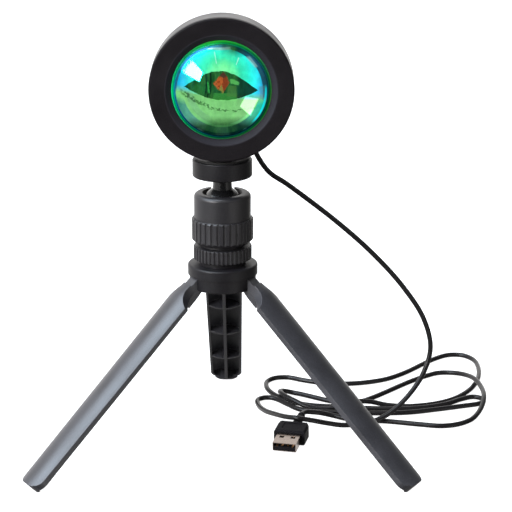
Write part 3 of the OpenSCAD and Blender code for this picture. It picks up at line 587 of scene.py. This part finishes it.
def smooth_path(points, step=1.2, low=CORD_D / 2 + 0.01):
    """A smooth curve through the points, sampled 24 times between each two points, and the sample nearest to each
    point; step is not used.
    """
    P = np.array(points, float)
    Q = np.vstack([2 * P[0] - P[1], P, 2 * P[-1] - P[-2]])
    dense, marks = [], []
    for i in range(1, len(Q) - 2):
        p0, p1, p2, p3 = Q[i - 1:i + 3]
        t = np.cumsum([0] + [np.linalg.norm(b - a) ** 0.5 for a, b in ((p0, p1), (p1, p2), (p2, p3))])
        marks.append(len(dense))
        for s in np.linspace(t[1], t[2], 24, endpoint=False):
            a1 = (t[1] - s) / (t[1] - t[0]) * p0 + (s - t[0]) / (t[1] - t[0]) * p1
            a2 = (t[2] - s) / (t[2] - t[1]) * p1 + (s - t[1]) / (t[2] - t[1]) * p2
            a3 = (t[3] - s) / (t[3] - t[2]) * p2 + (s - t[2]) / (t[3] - t[2]) * p3
            b1 = (t[2] - s) / (t[2] - t[0]) * a1 + (s - t[0]) / (t[2] - t[0]) * a2
            b2 = (t[3] - s) / (t[3] - t[1]) * a2 + (s - t[1]) / (t[3] - t[1]) * a3
            dense.append((t[2] - s) / (t[2] - t[1]) * b1 + (s - t[1]) / (t[2] - t[1]) * b2)
    marks.append(len(dense))
    dense.append(P[-1])
    D = np.array(dense)
    D[:, 2] = np.maximum(D[:, 2], low)
    run = np.concatenate([[0], np.cumsum(np.linalg.norm(np.diff(D, axis=0), axis=1))])
    return D, run, marks


def resample(D, run, a, b, step):
    n = max(2, int(round((run[b] - run[a]) / step)))
    s = np.linspace(run[a], run[b], n + 1)
    return np.stack([np.interp(s, run, D[:, k]) for k in range(3)], axis=1)


def tube(name, line, r, mat, sides=16, t0=None, t1=None):
    """A closed round tube along a line of points, with an untwisted frame."""
    n = len(line)
    tan = np.gradient(line, axis=0)
    tan /= np.linalg.norm(tan, axis=1)[:, None]
    if t0 is not None:
        tan[0] = t0
    if t1 is not None:
        tan[-1] = t1
    u = np.cross(tan[0], (0, 0, 1.0))
    if np.linalg.norm(u) < 1e-3:
        u = np.array((1.0, 0, 0))
    verts, faces = [], []
    for i in range(n):
        u = u - tan[i] * (u @ tan[i])
        u /= np.linalg.norm(u)
        v = np.cross(tan[i], u)
        for k in range(sides):
            a = 2 * pi * k / sides
            verts.append(tuple(line[i] + r * (math.cos(a) * u + math.sin(a) * v)))
    for i in range(n - 1):
        for k in range(sides):
            l = (k + 1) % sides
            faces.append((i * sides + k, i * sides + l, (i + 1) * sides + l, (i + 1) * sides + k))
    faces.append(tuple(range(sides - 1, -1, -1)))
    faces.append(tuple((n - 1) * sides + k for k in range(sides)))
    return piece(name, verts, faces, mat, 50)


D, run, marks = smooth_path(route)
PLUG_TURN, PLUG_TILT = math.radians(-14), math.radians(4)
nose = np.array((math.sin(PLUG_TURN) * math.cos(PLUG_TILT), -math.cos(PLUG_TURN) * math.cos(PLUG_TILT), -math.sin(PLUG_TILT)))
cut = marks[JOIN] + 8
tj = D[cut + 1] - D[cut - 1]
tj /= np.linalg.norm(tj)
up_line = resample(D, run, 0, cut, 0.7)
low_line = resample(D, run, cut, len(D) - 1, 1.0)
cord_top = tube("cord_top", up_line, CORD_D / 2, cord_jacket.m, 20, np.array((0, 1.0, 0)), tj)
cord_main = tube("cord_main", low_line, CORD_D / 2, cord_jacket.m, 20, tj, nose)
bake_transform(cord_top)
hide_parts("cord_upper")
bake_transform(cord_main)
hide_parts("cord_drop", "cord_floor")


# ---- floor, room and light -----------------------------------------------
def flat(name, x0, x1, y0, y1, z, mat):
    me = bpy.data.meshes.new(name)
    me.from_pydata([(x0, y0, z), (x1, y0, z), (x1, y1, z), (x0, y1, z)], [], [(0, 1, 2, 3)])
    me.materials.append(mat)
    o = bpy.data.objects.new(name, me)
    scene.collection.objects.link(o)
    return o


floor_mat = Mat("floor_pale", (0.25, 0.25, 0.25, 1), 0.9, Emission_Color=(1, 1, 1, 1), Emission_Strength=0.96)
floor_mat.bsdf.inputs["Specular IOR Level"].default_value = 0.0
floor = flat("floor", -12, 12, -12, 12, -0.0002, floor_mat.m)
floor.visible_glossy = False
floor.visible_diffuse = False


class World(Mat):
    """The same short calls, on the world's nodes."""

    def __init__(self):
        w = bpy.data.worlds.new("room")
        scene.world = w
        w.use_nodes = True
        self.nt = w.node_tree
        self.coord = self.new("ShaderNodeTexCoord")

    def pos(self):
        return self.coord.outputs["Generated"]


def world():
    """A white room. In front of the lamp a darker eye-shaped gap at the height of the viewer, two bright windows, and beyond them dusk; a bright backdrop, strongest to the left."""
    W = World()
    bg = W.nt.nodes["Background"]
    sep = W.new("ShaderNodeSeparateXYZ")
    W.link(W.pos(), sep.inputs[0])
    x, y, z = sep.outputs
    xx = W.math("MULTIPLY", x, x)
    inv = lambda v: W.math("SUBTRACT", 1.0, v)
    ny = W.math("MULTIPLY", y, -1.0)

    # front half
    upper = W.math("ADD", W.math("MULTIPLY", xx, -0.74), W.math("ADD", W.math("MULTIPLY", x, -0.08), 0.327))
    lower = W.math("ADD", W.math("MULTIPLY", xx, 0.36), W.math("ADD", W.math("MULTIPLY", x, -0.04), -0.365))
    ripple = W.math("MULTIPLY", W.math("SUBTRACT", W.noise(9, 3, 0.6), 0.5), 0.05)
    gap = both(W, soft(W, W.math("SUBTRACT", upper, W.math("ADD", z, ripple)), 0, 0.010), soft(W, W.math("SUBTRACT", W.math("ADD", z, ripple), lower), 0, 0.012))
    tall = W.new("ShaderNodeMapping")
    tall.inputs["Scale"].default_value = (9, 9, 2)
    W.link(W.pos(), tall.inputs["Vector"])
    in_gap = W.range(W.noise(1.0, 3, 0.6, tall.outputs[0]), 0.35, 0.65, 0.006, 0.05)
    # a broken dark edge below the gap, thick to the left and thin to the right
    wander = W.math("MULTIPLY", W.math("SUBTRACT", W.noise(8, 3, 0.65), 0.5), 0.16)
    away = W.math("ABSOLUTE", W.math("SUBTRACT", z, W.math("ADD", W.math("ADD", lower, W.math("MULTIPLY", x, -0.12)), W.math("ADD", -0.225, wander))))
    line = both(W, inv(soft(W, W.math("SUBTRACT", away, W.range(x, -0.35, 0.05, 0.032, 0.0)), 0.014, 0.014)), soft(W, W.noise(17, 3, 0.6), 0.46, 0.08), soft(W, ny, 0.5, 0.1))
    lit = W.math("MULTIPLY", 1.28, inv(W.math("MULTIPLY", line, 0.72)))
    patch = W.range(W.noise(5, 3, 0.55), 0.42, 0.60, 0.86, 1.06)
    lit = W.math("MULTIPLY", lit, patch)
    front = W.math("ADD", W.math("MULTIPLY", lit, inv(gap)), W.math("MULTIPLY", in_gap, gap))
    one = inside(W, x, z, [(-0.680, 0.505), (-0.451, 0.278), (-0.523, 0.060), (-0.844, 0.206)], 0.012)
    two = inside(W, x, z, [(0.529, -0.297), (0.757, -0.360), (0.560, -0.690), (0.397, -0.512)], 0.02)
    front = W.math("ADD", front, W.math("MULTIPLY", both(W, one, soft(W, ny, 0.3, 0.05)), 40.0))
    front = W.math("ADD", front, W.math("MULTIPLY", both(W, two, soft(W, ny, 0.3, 0.05)), 3.2))
    side = W.range(x, 0.80, 0.98, 1.0, 0.30)
    front = W.math("MULTIPLY", front, side)
    high = both(W, W.range(z, 0.58, 0.74, 0.0, 1.0), W.range(x, -0.05, 0.25, 0.0, 1.0))
    front = W.math("MULTIPLY", front, W.math("SUBTRACT", 1.0, W.math("MULTIPLY", high, 0.9)))

    # back half
    back = W.math("MULTIPLY", 1.75, W.range(x, 0.30, 0.60, 1.0, 0.16))
    back = W.math("MULTIPLY", back, W.range(z, 0.55, 0.85, 1.0, 0.4))
    back = W.math("MULTIPLY", back, W.range(z, -0.60, -0.34, 0.25, 1.0))
    front = W.math("MULTIPLY", front, W.range(z, -0.86, -0.70, 0.12, 1.0))
    behind = soft(W, y, 0.0, 0.16)
    val = W.math("ADD", W.math("MULTIPLY", front, inv(behind)), W.math("MULTIPLY", back, behind))
    # a large soft source high up to the left, towards the viewer
    near = W.math("ADD", W.math("MULTIPLY", x, -0.56), W.math("ADD", W.math("MULTIPLY", y, -0.36), W.math("MULTIPLY", z, 0.745)))
    glow = W.math("MULTIPLY", W.range(near, 0.80, 0.96, 0.0, 1.0), W.range(y, -0.62, -0.50, 0.0, 1.0))
    val = W.math("ADD", val, W.math("MULTIPLY", glow, 15.0))
    W.link(val, bg.inputs["Strength"])
    W.link(W.mix(glow, (1.0, 0.985, 0.97, 1), (0.74, 0.86, 1.0, 1)), bg.inputs["Color"])


world()


def softbox(name, at, to, w, h, power, turn=0.0, color=(1, 1, 1), glossy=True):
    d = bpy.data.lights.new(name, "AREA")
    d.shape = "RECTANGLE"
    d.size, d.size_y = w, h
    d.energy = power
    d.color = color
    o = bpy.data.objects.new(name, d)
    v = Vector(to) - Vector(at)
    o.location = at
    o.rotation_euler = (v.to_track_quat("-Z", "Y") @ Matrix.Rotation(turn, 3, "Z").to_quaternion()).to_euler()
    o.visible_glossy = glossy
    scene.collection.objects.link(o)
    return o


softbox("top_box", (-0.25, 0.35, 1.5), (0, 0, 0), 1.5, 1.5, 5, glossy=False)

scene.view_settings.view_transform = "Standard"
scene.view_settings.look = "None"
scene.view_settings.exposure = 0
scene.view_settings.gamma = 1
